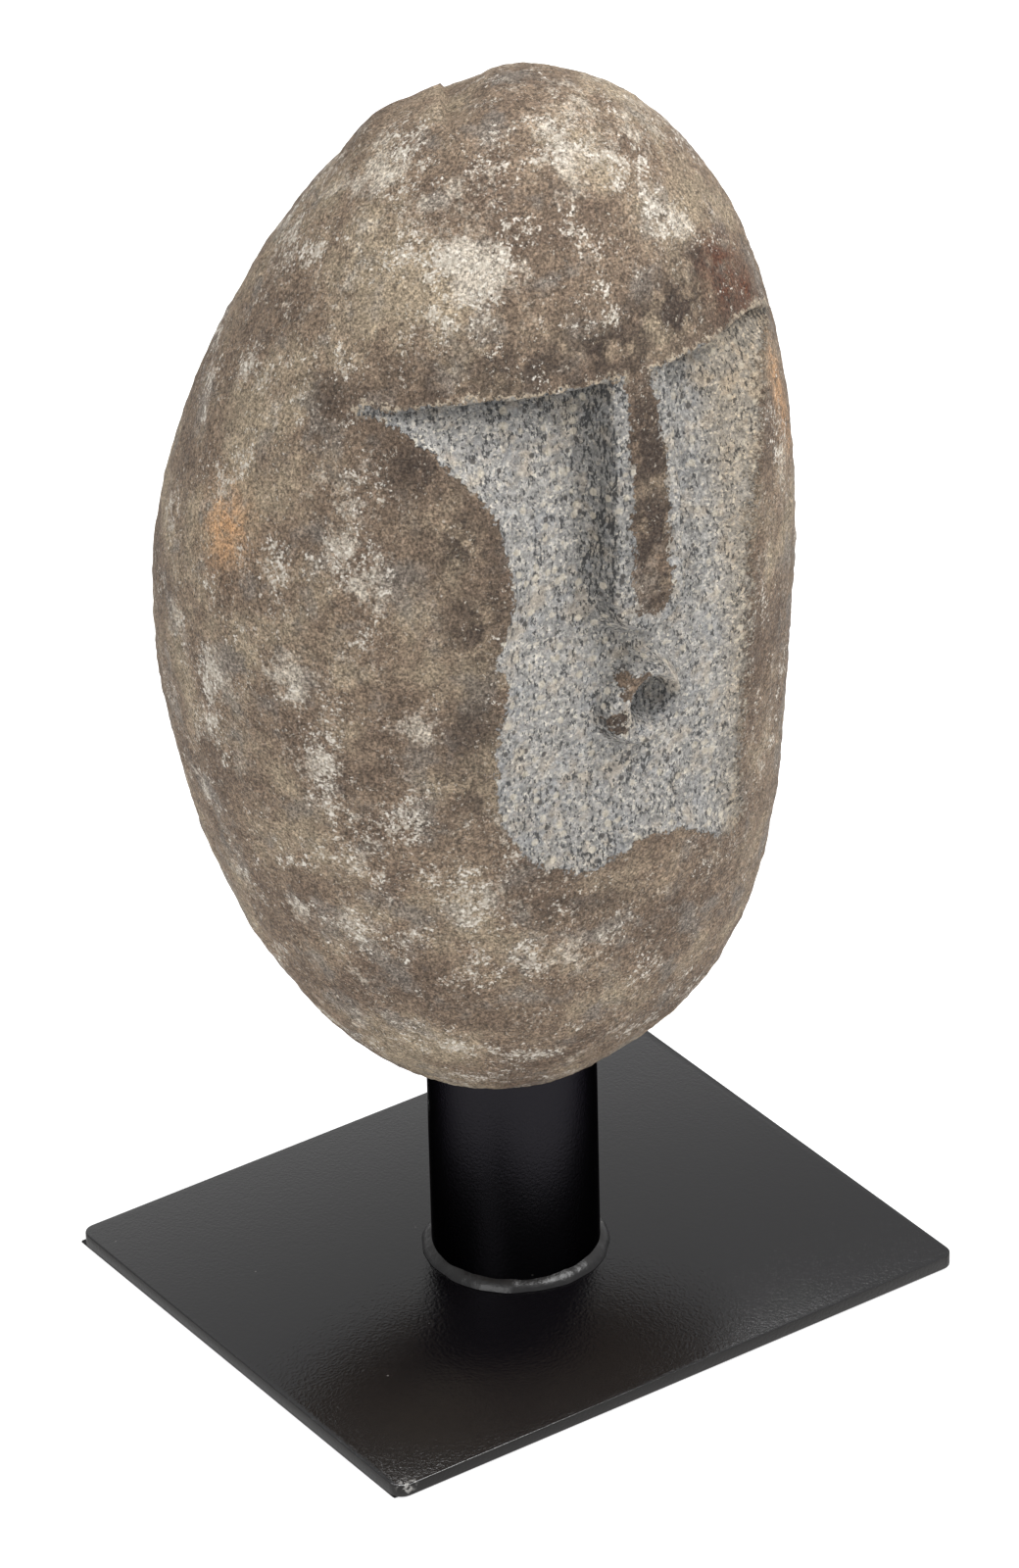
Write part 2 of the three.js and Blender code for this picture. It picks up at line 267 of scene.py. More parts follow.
def nose_place(x, z):
    """The middle of the nose at each point's height, its half width there, and how far the point is off."""
    down = np.clip((NOSE["top_z"] - z) / (NOSE["top_z"] - NOSE["tip_z"]), 0.0, 1.0)
    middle = mix(NOSE["top_x"], NOSE["tip_x"], down)
    half = mix(NOSE["top_half"], NOSE["tip_half"], down)
    return middle, half, np.hypot(x - middle, np.clip(NOSE["tip_z"] - z, 0.0, None))


def nose_kept(x, z):
    """The share of the skin that the nose keeps: 1 on its ridge, 0 past its flanks."""
    _, half, away = nose_place(x, z)
    return 1.0 - smoothstep(half - NOSE["round"], half + NOSE["flank"], away)


def lips_kept(x, z):
    """The share that the lips keep: a round swelling with the hole of the mouth in it."""
    past = np.hypot(x - LIPS["x"], z - LIPS["z"]) - LIPS["radius"]
    swelling = 1.0 - smoothstep(0.0, LIPS["flank"], past)
    return LIPS["kept"] * swelling * (1.0 - mouth_share(x, z))


def mouth_share(x, z):
    """1 in the hole of the mouth, 0 outside it."""
    past = np.hypot(x - MOUTH["x"], z - MOUTH["z"]) - MOUTH["radius"]
    return 1.0 - smoothstep(-MOUTH["edge"], MOUTH["edge"], past)


def cut_depth(x, z, inset):
    """How deep the face is cut behind the uncut front."""
    under_brow = smoothstep(0.0, BROW["ledge_run"], brow_height(x) - z)
    deepest = mix(HOLLOW["chin_depth"], HOLLOW["eye_depth"],
                  smoothstep(HOLLOW["chin_height"], HOLLOW["eye_height"], z))
    bowl = deepest * (1.0 - np.exp(-np.clip(inset, 0.0, None) / HOLLOW["fade"]))
    return bowl * under_brow * (1.0 - nose_kept(x, z)) * (1.0 - lips_kept(x, z))


def nose_painted_shade(x, z):
    """Painted shade on the nose's steep flanks and at their foot, most of all on its left, away from the
    light.
    """
    shade = NOSE_PAINTED_SHADE
    kept = nose_kept(x, z)
    middle, half, away = nose_place(x, z)
    left = 1.0 - smoothstep(-shade["side"], shade["side"], x - middle)
    below = shade["below_share"] * smoothstep(0.0, shade["below"], NOSE["tip_z"] - z)
    fade = np.exp(-np.clip(away - (half + NOSE["flank"]), 0.0, None) / shade["foot_fade"])
    foot = shade["foot"] * fade * (1.0 - smoothstep(shade["foot_from"], 1.0, kept))
    ridge = shade["ridge_loss"] * smoothstep(shade["ridge_from"], 1.0, kept)
    flank = np.maximum(smoothstep(0.0, shade["flank_full"], kept) * (1.0 - ridge), foot)
    return flank * np.clip(left + below, shade["right_share"], 1.0) * (1.0 - below)


def unbruised(x, z):
    """Painted shade: how much darker the fresh rock is painted where shade falls in the hollows of the face.
    """
    ledge, mouth, chin = LEDGE_PAINTED_SHADE, MOUTH_PAINTED_SHADE, CHIN_PAINTED_SHADE
    corner = smoothstep(ledge["thicker_from"], ledge["thickest"], x)
    corner = corner * (1.0 - smoothstep(ledge["thickest"], ledge["thin_again"], x))
    under_ledge = np.clip(brow_height(x) - BROW["ledge_run"] - z, 0.0, None)
    under_brow = ledge["share"] * np.exp(-under_ledge / mix(ledge["thin"], ledge["thick"], corner))
    lips = lips_kept(x, z)
    off_lips = smoothstep(mouth["slope_from"], mouth["slope_to"], x - LIPS["x"])
    slope = mouth["slope"] * 4.0 * lips * (1.0 - lips) * (1.0 - off_lips)
    hole = mouth["hole"] * mouth_share(x, z)
    low = chin["share"] * (1.0 - smoothstep(chin["full_below"], chin["none_above"], z))
    return np.maximum.reduce((nose_painted_shade(x, z), under_brow, slope, hole, low))


def crown_lift(x, y):
    """How the crown leaves the smooth boulder: a worn shoulder, and an old break with one sharp lip."""
    across = x * math.cos(CROWN_TURN) + y * math.sin(CROWN_TURN)
    along = y * math.cos(CROWN_TURN) - x * math.sin(CROWN_TURN)
    past = across - BREAK["across"]
    run_out = smoothstep(-BREAK["lip"], 0.0, past) * (1.0 - smoothstep(0.0, BREAK["run"], past))
    broken = run_out * (1.0 - smoothstep(BREAK["even"], 1.0, np.abs(along - BREAK["along"]) / BREAK["reach"]))
    away = np.hypot((across - SHOULDER["across"]) / SHOULDER["half_width"],
                    (along - SHOULDER["along"]) / SHOULDER["reach"])
    return SHOULDER["height"] * (1.0 - smoothstep(0.0, 1.0, away)) - BREAK["depth"] * broken


def crust_left(x, z):
    """Signed distance to the crust left on the nose and lips: positive on it."""
    down = np.clip((BROW["height"] - z) / (BROW["height"] - RIDGE_CRUST["tip_z"]), 0.0, 1.0)
    middle = mix(RIDGE_CRUST["top_x"], RIDGE_CRUST["tip_x"], down)
    half = mix(RIDGE_CRUST["top_half"], RIDGE_CRUST["tip_half"], np.sqrt(down))
    kept = half - np.hypot(x - middle, np.clip(RIDGE_CRUST["tip_z"] - z, 0.0, None))
    for spot_x, spot_z, reach in LIP_CRUST:
        kept = np.maximum(kept, reach - np.hypot(x - spot_x, z - spot_z))
    return kept


def spots(x, y, z, places):
    """The strongest of several soft round spots at each point."""
    total = np.zeros(x.shape)
    for spot_x, spot_y, spot_z, reach, reach_up, strength in places:
        away = np.hypot(np.hypot(x - spot_x, y - spot_y) / reach, (z - spot_z) / reach_up)
        total = np.maximum(total, strength * np.exp(-away ** 2))
    return total


def row_heights():
    """Heights of the stone's rings of points, from the seat to just below the crown, closest on the face."""
    middle = (BOULDER_TOP + BOULDER_BOTTOM) / 2
    half = (BOULDER_TOP - BOULDER_BOTTOM) / 2

    def density(turn):
        z = middle + half * np.sin(turn)
        on_face = smoothstep(FACE_ROWS["from"], FACE_ROWS["full_from"], z)
        on_face = on_face * (1.0 - smoothstep(FACE_ROWS["full_to"], FACE_ROWS["to"], z))
        from_ledge = (z - BROW["height"] + BROW["ledge_run"] / 2) / LEDGE_ROWS["reach"]
        return 1.0 + FACE_ROWS["closer"] * on_face + LEDGE_ROWS["closer"] * np.exp(-from_ledge ** 2)

    seat_turn = math.asin((SEAT - middle) / half)
    turns = spread(seat_turn, math.pi / 2, ROWS - 1, density)[:-1]
    return middle + half * np.sin(turns)


def column_angles():
    """Angles of the stone's columns of points, closest together on the face."""
    front = -math.pi / 2

    def density(angle):
        return 1.0 + FACE_COLUMNS["closer"] * np.exp(-((angle - front) / FACE_COLUMNS["reach"]) ** 2)

    return spread(front - math.pi, front + math.pi, COLUMNS, density)[:-1]


def vertex_places(mesh):
    """The mesh's points as an array, in its own units."""
    places = np.empty(len(mesh.vertices) * 3)
    mesh.vertices.foreach_get("co", places)
    return places.reshape(-1, 3)


def place_vertices(mesh, places):
    """Puts the mesh's points at these places."""
    mesh.vertices.foreach_set("co", np.ascontiguousarray(places, np.float32).ravel())
    mesh.update()


def point_attribute(mesh, name, values):
    """Keeps one number for each point of the mesh, for its material to read."""
    attribute = mesh.attributes.new(name, "FLOAT", "POINT")
    attribute.data.foreach_set("value", np.ascontiguousarray(values, np.float32))


def vertex_group(piece, name, weights):
    """A vertex group with these weights, in steps fine enough for relief."""
    group = piece.vertex_groups.new(name=name)
    steps = np.round(weights * WEIGHT_STEPS).astype(int)
    for step in range(1, WEIGHT_STEPS + 1):
        members = np.flatnonzero(steps == step)
        if len(members):
            group.add(members.tolist(), step / WEIGHT_STEPS, "REPLACE")


def deselect_all():
    """Leaves nothing selected, so that an operator acts only on what is added next."""
    for piece in bpy.context.selected_objects:
        piece.select_set(False)


def apply_modifier(piece, kind, **settings):
    """Adds a modifier with its settings and applies it to the mesh."""
    modifier = piece.modifiers.new(kind.lower(), kind)
    for name, value in settings.items():
        setattr(modifier, name, value)
    bpy.context.view_layer.objects.active = piece
    bpy.ops.object.modifier_apply(modifier=modifier.name)


def displace(piece, group, size_mm, height):
    """Raises and lowers part of the surface by clouds of a real size, and applies that to the mesh."""
    texture = bpy.data.textures.new(group + "_relief", "CLOUDS")
    texture.noise_scale = size_mm * MM
    texture.noise_depth = 2
    apply_modifier(piece, "DISPLACE", texture=texture, texture_coords="LOCAL", strength=height,
                   mid_level=0.5, vertex_group=group)


def carve(piece):
    """Turns a unit sphere into the carved boulder, and keeps what its material needs to know."""
    mesh = piece.data
    sphere = vertex_places(mesh)
    turn_down = np.arccos(np.clip(sphere[:, 2] / np.linalg.norm(sphere, axis=1), -1.0, 1.0))
    row = np.clip(ROWS - np.rint(turn_down / math.pi * ROWS).astype(int), 0, ROWS)
    column = np.rint(np.arctan2(sphere[:, 1], sphere[:, 0]) / (2 * math.pi) * COLUMNS).astype(int) % COLUMNS
    heights = np.concatenate(([SEAT], row_heights(), [BOULDER_TOP]))[row]
    skin = boulder_points(heights, column_angles()[column])
    skin[row == 0] = (AXIS_FOOT[0], AXIS_FOOT[1], SEAT)
    skin[row == ROWS] = (AXIS_HEAD[0], AXIS_HEAD[1], BOULDER_TOP)
    x, y, z = skin.T
    on_front = y < mix(AXIS_FOOT[1], AXIS_HEAD[1], (z - BOULDER_BOTTOM) / (BOULDER_TOP - BOULDER_BOTTOM))
    inset = cheek_distance(x, z)
    places = skin.copy()
    places[:, 1] += np.where(on_front, cut_depth(x, z, inset), 0.0)
    places[:, 2] += crown_lift(x, y) * smoothstep(CROWN_FROM, CROWN_FULL, z)
    fresh = np.minimum(np.minimum(inset, brow_height(x) - z), -crust_left(x, z))
    fresh = np.where(on_front, fresh, FAR_OUTSIDE)
    place_vertices(mesh, places * MM)
    return x, y, z, fresh, on_front


def linear(hex_colour):
    """An sRGB hex colour as linear RGBA."""
    parts = [int(hex_colour[i:i + 2], 16) / 255 for i in (1, 3, 5)]
    return (*(p / 12.92 if p <= 0.04045 else ((p + 0.055) / 1.055) ** 2.4 for p in parts), 1.0)


def tone(colour):
    """A hex colour turned linear, or a number as the grey that multiplies by it."""
    return linear(colour) if isinstance(colour, str) else (colour, colour, colour, 1.0)


def add(tree, kind, inputs=None, stops=(), **settings):
    """Adds a node with its settings and its ramp's stops. Each input is a value, a socket or a node."""
    node = tree.nodes.new("ShaderNode" + kind)
    for name, value in settings.items():
        setattr(node, name, value)
    for key, value in (inputs or {}).items():
        if isinstance(value, bpy.types.Node):
            value = next(socket for socket in value.outputs if socket.enabled)
        if isinstance(value, bpy.types.NodeSocket):
            tree.links.new(value, node.inputs[key])
        else:
            node.inputs[key].default_value = value
    if stops:
        ramp = node.color_ramp.elements
        while len(ramp) < len(stops):
            ramp.new(0.5)
        for stop, (position, colour) in zip(ramp, stops):
            stop.position = position
            stop.color = tone(colour)
    return node


def new_material(name):
    """An empty node material and the function that adds a node to it."""
    material = bpy.data.materials.new(name)
    material.use_nodes = True
    material.node_tree.nodes.clear()
    return material, partial(add, material.node_tree)


# Granite: the patterns in it, each with its size in millimetres, its octaves, its roughness and
# the shift that keeps it apart from the others.
GRANITE_NOISES = {
    "ragged": (9.0, 4, 0.65, 0),
    "ragged_fine": (2.2, 2, 0.6, 40),
    "crumbled": (1.6, 3, 0.75, 50),
    "cool": (17.0, 4, 0.65, 11),
    "warm": (13.0, 4, 0.65, 70),
    "bruised": (3.4, 5, 0.8, 25),
    "mica_fine": (1.5, 3, 0.65, 33),
    "mica_places": (9.0, 3, 0.6, 35),
    "rind": (46.0, 5, 0.62, 5),
    "greyed": (24.0, 4, 0.6, 210),
    "mottled": (6.5, 4, 0.65, 55),
    "smoke_torn": (11.0, 4, 0.65, 170),
    "stain": (7.0, 4, 0.7, 90),
    "cloud_wide": (26.0, 6, 0.72, 135),
    "cloud_fine": (3.0, 3, 0.75, 140),
    "grit": (1.2, 3, 0.75, 44),
    "pits": (2.0, 3, 0.7, 240),
    "fleck": (2.3, 3, 0.75, 260),
    "fleck_places": (19.0, 3, 0.5, 0),
    "patch_wide": (28.0, 9, 0.72, 130),
    "patch_middle": (5.0, 3, 0.7, 75),
    "patch_fine": (1.5, 3, 0.75, 60),
    "lip_torn": (5.0, 3, 0.6, 300),
    "peck_fine": (1.6, 2, 0.6, 15),
    "peck_wide": (5.0, 4, 0.7, 16),
    "worn_fine": (1.4, 3, 0.7, 18),
    "worn_wide": (4.5, 2, 0.5, 0),
}
MICA_SLANT = (1.0, 1.0, 0.5)

# Its grains, each with its size in millimetres: feldspar and quartz, the sand on the rind, and
# the larger books of mica and cream crystals, which lie crooked.
GRANITE_GRAINS = {"cells": 1.1, "sand": 1.2, "books": 6.5, "crystals": 5.0}
CROOKED = ("books", "crystals")
CROOKED_SIZE = 2.5

# Sums of patterns: a constant, and the weight of each thing that is added to it.
GRANITE_SUMS = {
    # Millimetres from rind to fresh rock: ragged all round, crumbled where the face has weathered.
    "edge": (-10.5, {"fresh_mm": 1.0, "ragged": 12.0, "ragged_fine": 9.0}),
    "crumbled_edge": (-13.0, {"edge": 1.0, "crumbled": 26.0}),
    # Mica flecks, a few more of them where the painted shade lies.
    "mica": (-0.125, {"mica_fine": 1.0, "unbruised": 0.06, "mica_places": 0.25}),
    "cloud": (-0.175, {"cloud_wide": 1.0, "pale": 0.2, "stained": -0.12, "cloud_fine": 0.35}),
    "patch": (-0.44, {"patch_wide": 1.0, "pale": 0.1, "stained": -0.1, "patch_fine": 0.5,
                      "patch_middle": 0.3, "sand_red": 0.08}),
    "pecked": (0.0, {"peck_fine": 0.5, "peck_wide": 1.5}),
    "worn": (0.0, {"worn_fine": 0.5, "worn_wide": 0.8}),
}

# Masks: what each follows, where it starts, where it is full, and how much that is. The two that
# pick single grains are full as soon as they start.
GRANITE_MASKS = {
    "cut": ("edge", -0.6, 0.6, 1.0),
    "cut_crumbled": ("crumbled_edge", -1.0, 5.0, 1.0),
    "weathered": ("across", 30.0, 52.0, 1.0),
    "cool": ("cool", 0.5, 0.66, 0.3),
    "warm": ("warm", 0.5, 0.66, 0.4),
    "mica": ("mica", 0.56, 0.62, 0.9),
    "book": ("books", 0.24, 0.16, 1.0),
    "is_book": ("books_green", 0.7, 0.7 + TINY, 0.8),
    "crystal": ("crystals", 0.42, 0.26, 1.0),
    "is_crystal": ("crystals_blue", 0.75, 0.75 + TINY, 0.45),
    "greyed": ("greyed", 0.52, 0.66, 0.6),
    "halo": ("edge", -13.0, -2.0, 0.36),
    "smoke_torn": ("smoke_torn", 0.36, 0.56, 1.25),
    "stain": ("stain", 0.3, 0.58, 1.0),
    "cloud": ("cloud", 0.57, 0.74, 0.9),
    "pits": ("pits", 0.575, 0.64, 0.65),
    "fleck": ("fleck", 0.6, 0.66, 0.7),
    "fleck_places": ("fleck_places", 0.42, 0.6, 1.0),
    "patch": ("patch", 0.585, 0.66, 0.85),
    "lip": ("edge", -2.2, -0.8, 1.0),
    "lip_torn": ("lip_torn", 0.4, 0.55, 0.7),
}

# Masks that are the product of several masks or of marks on the mesh.
GRANITE_PRODUCTS = {
    "book": ("book", "is_book"),
    "crystal": ("crystal", "is_crystal"),
    "smoke": ("smoke", "smoke_torn"),
    "rust": ("rust", "stain"),
    "ochre": ("ochre", "stain"),
    "fleck": ("fleck", "fleck_places"),
    "lip": ("lip", "brow_lip", "lip_torn"),
}

# Layers of colour, from the lowest up: the mask that mixes a layer in, or none where it multiplies,
# then its colour, or what its ramp follows and the ramp's stops.
FRESH_GRAINS = ((0.0, "#747371"), (0.25, "#84827f"), (0.6, "#93918d"), (0.85, "#a29e97"), (1.0, "#bab3a7"))
ROCK_LAYERS = (
    # Feldspar and quartz of 1 to 2 mm, clouded cooler and warmer, and bruised by the pecking.
    ("cool", "#7e8287"),
    ("warm", "#aa9b86"),
    (None, "bruised", ((0.37, 0.62), (0.5, 1.0), (0.63, 1.38))),
    # Mica: small torn flecks all over, then painted shade that darkens the rock in the hollows of the face,
    # then a few books.
    ("mica", "#39393a"),
    (None, "unbruised", ((0.0, 0.98), (1.0, 0.58))),
    ("book", "#3d3a38"),
    # The right of the face has weathered warm again.
    (None, "weathered", ((0.0, 1.0), (1.0, "#f9efe1"))),
    # Feldspar crystals of 3 to 4 mm stand out cream.
    ("crystal", "#c5bba8"),
)
BROWN_RIND = ((0.38, "#6c5c4e"), (0.5, "#806f5e"), (0.62, "#998a75"))
RIND_LAYERS = (
    # Brown, mottled, and darker round the cut and where it is stained.
    ("greyed", "#7c766f"),
    (None, "mottled", ((0.36, 0.82), (0.5, 1.0), (0.64, 1.18))),
    ("halo", "#5a4b40"),
    ("smoke", "#483d35"),
    ("rust", "#5a3726"),
    ("ochre", "#c99d72"),
    # Pale mineral bloom lies on it in soft clouds.
    ("cloud", "#bdb3a4"),
    # A skin of sand-sized grains, with dark pits and pale flecks.
    (None, "sand_green", ((0.0, 0.7), (0.5, 0.97), (1.0, 1.28))),
    (None, "grit", ((0.38, 0.5), (0.5, 1.0), (0.62, 1.5))),
    ("pits", "#3b322b"),
    ("fleck", "#c9c0b2"),
    (None, 0.82),
    # Torn patches of bloom that break up into single grains.
    ("patch", "sand_red", ((0.0, "#9c9488"), (0.7, "#b5ada0"), (1.0, "#dad4ca"))),
    # The lip of the brow is bruised pale in a thin line.
    ("lip", "#b5a792"),
)


def granite_boulder():
    """Biotite granite: a river-worn boulder with its weathered brown rind, cut by hand pecking.

    The rind gives a matt, sandy brown with darker stains and pale mineral bloom. Where the face is
    cut, the fresh rock is light grey with black mica flecks and cream feldspar grains.
    """
    material, node = new_material("biotite_granite_pecked")
    mm = node("VectorMath", {0: node("TexCoord").outputs["Object"], "Scale": 1.0 / MM}, operation="SCALE")
    value = {"across": node("SeparateXYZ", {"Vector": mm})}
    # Marks kept on the mesh, among them the painted shade in the hollows of the face.
    for name in ("fresh_mm", "unbruised", "brow_lip", "rust", "ochre", "pale", "smoke"):
        value[name] = node("Attribute", attribute_name=name).outputs["Fac"]
    value["stained"] = node("Math", {0: value["smoke"], 1: value["rust"]}, operation="MAXIMUM")
    slanted = node("VectorMath", {0: mm, 1: MICA_SLANT}, operation="MULTIPLY")
    for name, (size, detail, rough, shift) in GRANITE_NOISES.items():
        place = node("VectorMath", {0: slanted if name == "mica_fine" else mm, 1: (shift, shift, shift)})
        value[name] = node("TexNoise", {
            "Vector": place, "Scale": 1.0 / size, "Detail": detail, "Roughness": rough})
    wander = node("TexNoise", {"Vector": mm, "Scale": 1.0 / CROOKED_SIZE, "Detail": 2.0})
    crooked = node("VectorMath", {0: mm, 1: wander.outputs["Color"]})
    for name, size in GRANITE_GRAINS.items():
        value[name] = node("TexVoronoi", {"Vector": crooked if name in CROOKED else mm, "Scale": 1.0 / size})
        for channel in node("SeparateColor", {"Color": value[name].outputs["Color"]}).outputs:
            value[f"{name}_{channel.name.lower()}"] = channel
    for name, (total, terms) in GRANITE_SUMS.items():
        for term, weight in terms.items():
            total = node("Math", {0: value[term], 1: weight, 2: total}, operation="MULTIPLY_ADD")
        value[name] = total
    mask = {}
    for name, (source, low, high, top) in GRANITE_MASKS.items():
        mask[name] = node("MapRange", {
            "Value": value[source], "From Min": low, "From Max": high, "To Max": top,
        }, interpolation_type="SMOOTHSTEP")
    for name, (first, *others) in GRANITE_PRODUCTS.items():
        product = mask.get(first, value.get(first))
        for other in others:
            product = node("Math", {0: product, 1: mask.get(other, value.get(other))}, operation="MULTIPLY")
        mask[name] = product
    value["weathered"] = mask["weathered"]
    fresh = node("Mix", {"Factor": mask["weathered"], 2: mask["cut"], 3: mask["cut_crumbled"]},
                 data_type="FLOAT")
    colours = []
    for source, stops, layers in (
        ("rind", BROWN_RIND, RIND_LAYERS), ("cells_red", FRESH_GRAINS, ROCK_LAYERS),
    ):
        colour = node("ValToRGB", {"Fac": value[source]}, stops)
        for name, *top in layers:
            over = tone(top[0]) if len(top) == 1 else node("ValToRGB", {"Fac": value[top[0]]}, top[1])
            colour = node("Mix", {"Factor": mask[name] if name else 1.0, 6: colour, 7: over},
                          data_type="RGBA", blend_type="MIX" if name else "MULTIPLY")
        colours.append(colour)
    relief = node("Mix", {"Factor": fresh, 2: value["worn"], 3: value["pecked"]}, data_type="FLOAT")
    shader = node("BsdfPrincipled", {
        "Base Color": node("Mix", {"Factor": fresh, 6: colours[0], 7: colours[1]}, data_type="RGBA"),
        "Roughness": node("MapRange", {"Value": value["cells_green"], "To Min": 0.72, "To Max": 0.98}),
        "IOR": 1.53,
        "Specular IOR Level": 0.25,
        "Normal": node("Bump", {"Height": relief, "Strength": 1.0, "Distance": 1.8 * MM}),
    })
    node("OutputMaterial", {"Surface": shader})
    return material


# The stand's coats, each with its colour, its gloss, its greatest roughness, how much dust dulls
# what faces up (on the weld, a painted sheen too), and whether it is bare blackened steel. Then their
# patterns and masks, and the layers of dust and painted sheen, pale specks and rubbed steel that lie on
# them, each where two masks meet.
COATS = {
    "satin_black_enamel_on_plate": ("#08070a", 0.84, 0.17, 0.003, 0.0),
    "satin_black_enamel_on_cut_edge": ("#12100f", 0.25, 0.42, 0.006, 0.0),
    "blackened_steel_tube": ("#222124", 0.5, 0.34, 0.004, 1.0),
    # The weld's heavier dust is partly a painted sheen on its upper face.
    "satin_black_enamel_on_weld": ("#0f0e10", 0.5, 0.33, 0.02, 0.0),
}
SHEEN_SWING = 0.03
SPECK_SPACING = 13.0
COAT_NOISES = {"dust_and_sheen_film": (1.2, 2.0), "rubbed": (2.4, 4.0), "sheen": (55.0, 4.0), "brushed": (1.3, 3.0)}
COAT_MASKS = {
    "upward": (0.3, 0.95, 1.0),
    "speck": (0.05, 0.025, 0.4),
    "is_speck": (0.6, 0.6 + TINY, 1.0),
    "corner": (RUB_REACH, RUB_REACH / 3, 1.0),
    "rubbed": (0.48, 0.58, 0.7),
}
COAT_LAYERS = (
    ("upward", "dust_and_sheen_film", "#a8a39c"), ("speck", "is_speck", "#a9a59f"), ("corner", "rubbed", "#a3a19d"),
)


def black_coat(name):
    """Mild steel, brushed with satin black enamel. The tube is hot blackened and waxed instead.

    The enamel keeps a low sheen that blurs what it mirrors, and the blackened tube mirrors less
    towards its edges. Dust lies on what faces up and dulls it to dark grey, and on the weld it is also
    a painted sheen that lightens its upper face. There are a few pale specks, and the plate's front
    corner is rubbed through to the steel.
    """
    coat, gloss, roughest, dust_and_sheen_share, bare = COATS[name]
    material, node = new_material(name)
    mm = node("VectorMath", {0: node("TexCoord").outputs["Object"], "Scale": 1.0 / MM}, operation="SCALE")
    value = {
        "upward": node("SeparateXYZ", {"Vector": node("NewGeometry").outputs["Normal"]}).outputs["Z"],
        "speck": node("TexVoronoi", {"Vector": mm, "Scale": 1.0 / SPECK_SPACING}),
        "corner": node("VectorMath", {0: mm, 1: RUBBED_CORNER}, operation="DISTANCE"),
    }
    value["is_speck"] = node("SeparateColor", {"Color": value["speck"].outputs["Color"]})
    for pattern, (size, detail) in COAT_NOISES.items():
        value[pattern] = node("TexNoise", {"Vector": mm, "Scale": 1.0 / size, "Detail": detail})
    # Dust on what faces up, and on the weld a painted sheen as well.
    mask = {"dust_and_sheen_film": node("Math", {0: value["dust_and_sheen_film"], 1: dust_and_sheen_share, 2: dust_and_sheen_share / 2}, operation="MULTIPLY_ADD")}
    for pattern, (low, high, top) in COAT_MASKS.items():
        mask[pattern] = node("MapRange", {
            "Value": value[pattern], "From Min": low, "From Max": high, "To Max": top,
        }, interpolation_type="SMOOTHSTEP")
    colour = linear(coat)
    for first, second, over in COAT_LAYERS:
        factor = node("Math", {0: mask[first], 1: mask[second]}, operation="MULTIPLY")
        colour = node("Mix", {"Factor": factor, 6: colour, 7: linear(over)}, data_type="RGBA")
    shader = node("BsdfPrincipled", {
        "Base Color": colour,
        "Metallic": bare,
        "Roughness": node("MapRange", {
            "Value": value["sheen"], "From Min": 0.3, "From Max": 0.7,
            "To Min": roughest - SHEEN_SWING, "To Max": roughest,
        }),
        "IOR": 1.5,
        "Specular IOR Level": gloss,
        "Specular Tint": tone(1.0 - bare),
        "Normal": node("Bump", {"Height": value["brushed"], "Strength": 1.0, "Distance": 0.18 * MM}),
    })
    node("OutputMaterial", {"Surface": shader})
    return material


def sheet_rubber():
    """Neoprene sheet, calendered: a dull near-black with a faint skin texture at its cut edge."""
    material, node = new_material("neoprene_sheet")
    place = node("TexCoord").outputs["Object"]
    skin = node("TexNoise", {"Vector": place, "Scale": 1.0 / (0.8 * MM), "Detail": 2.0})
    shader = node("BsdfPrincipled", {
        "Base Color": node("ValToRGB", {"Fac": skin}, ((0.3, "#100f0f"), (0.7, "#1c1b1b"))),
        "Roughness": 0.85,
        "IOR": 1.52,
        "Normal": node("Bump", {"Height": skin, "Strength": 0.4, "Distance": 0.1 * MM}),
    })
    node("OutputMaterial", {"Surface": shader})
    return material


def studio_floor():
    """Matt white acrylic sheet, lit from below as a photographer's table is, so that no shadow shows."""
    material, node = new_material("lit_white_acrylic")
    grain = node("TexNoise", {"Scale": 400.0})
    shader = node("BsdfPrincipled", {
        "Base Color": node("ValToRGB", {"Fac": grain}, ((0.3, 0.54), (0.7, 0.56))),
        "Roughness": 0.9,
        "Emission Color": tone(1.0),
        "Emission Strength": 0.7,
    })
    node("OutputMaterial", {"Surface": shader})
    return material


def smooth_by_angle(degrees):
    """Smooth shading that keeps edges sharper than this."""
    bpy.ops.object.shade_smooth_by_angle(angle=math.radians(degrees))


def select_edges(piece, chosen):
    """In edit mode, selects only the edges that the test picks, by their two ends in the piece's mesh."""
    bpy.ops.object.mode_set(mode="EDIT")
    bpy.ops.mesh.select_mode(type="EDGE")
    bpy.ops.mesh.select_all(action="DESELECT")
    bpy.ops.object.mode_set(mode="OBJECT")
    mesh = piece.data
    for edge in mesh.edges:
        edge.select = chosen(*(mesh.vertices[i].co for i in edge.vertices))
    bpy.ops.object.mode_set(mode="EDIT")


def settle(piece):
    """Puts the piece's place, turn and size into its mesh."""
    bpy.ops.object.mode_set(mode="OBJECT")
    bpy.ops.object.transform_apply(location=True, rotation=True, scale=True)


def rounded_sheet(name, low, high, corner, ease):
    """A flat rectangular sheet between two points, with rounded corners and eased edges."""
    deselect_all()
    bpy.ops.mesh.primitive_cube_add(size=1.0, location=(low + high) / 2, scale=high - low)
    sheet = bpy.context.object
    sheet.name = name
    settle(sheet)
    select_edges(sheet, lambda a, b: abs(a.z - b.z) > TINY)
    bpy.ops.mesh.bevel(offset=corner, segments=CORNER_STEPS, affect="EDGES")
    if ease > 0.0:
        select_edges(sheet, lambda a, b: abs(a.z - b.z) < TINY)
        bpy.ops.mesh.bevel(offset=ease, segments=EASE_STEPS, affect="EDGES", harden_normals=True)
    bpy.ops.object.mode_set(mode="OBJECT")
    smooth_by_angle(SHARP_EDGE)
    return sheet


